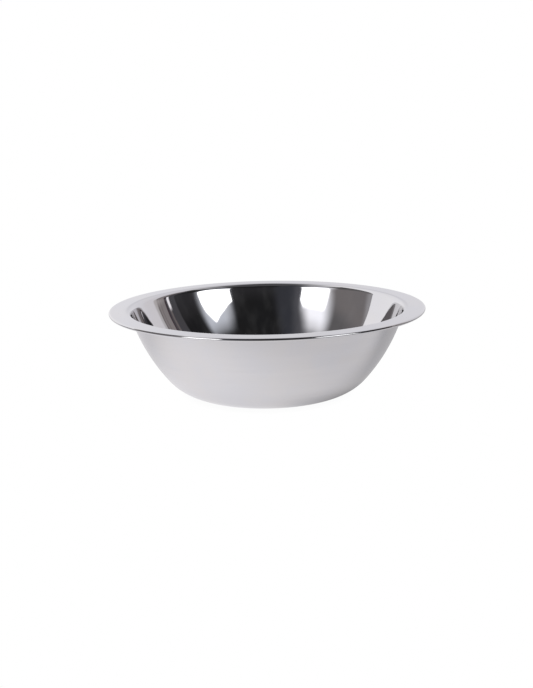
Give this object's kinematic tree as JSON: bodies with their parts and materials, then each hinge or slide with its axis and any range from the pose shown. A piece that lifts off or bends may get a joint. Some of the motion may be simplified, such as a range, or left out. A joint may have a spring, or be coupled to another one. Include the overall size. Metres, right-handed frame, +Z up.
{
  "type": "mixing bowl",
  "caption": "Wide-rimmed round mixing bowl of polished sheet steel, with a flat rim whose edge is folded under and a base with a slightly raised middle.",
  "frame": {"origin": "centre of the base, on the surface that the bowl stands on", "axes": "+Z up along the bowl's axis; the bowl is the same all round, so +X and +Y are any two level directions at a right angle"},
  "size_m": [0.24, 0.24, 0.0665],
  "materials": {
    "polished_steel": "polished"
  },
  "bodies": {
    "root": {"bowl": "polished_steel"}
  },
  "joints": []
}
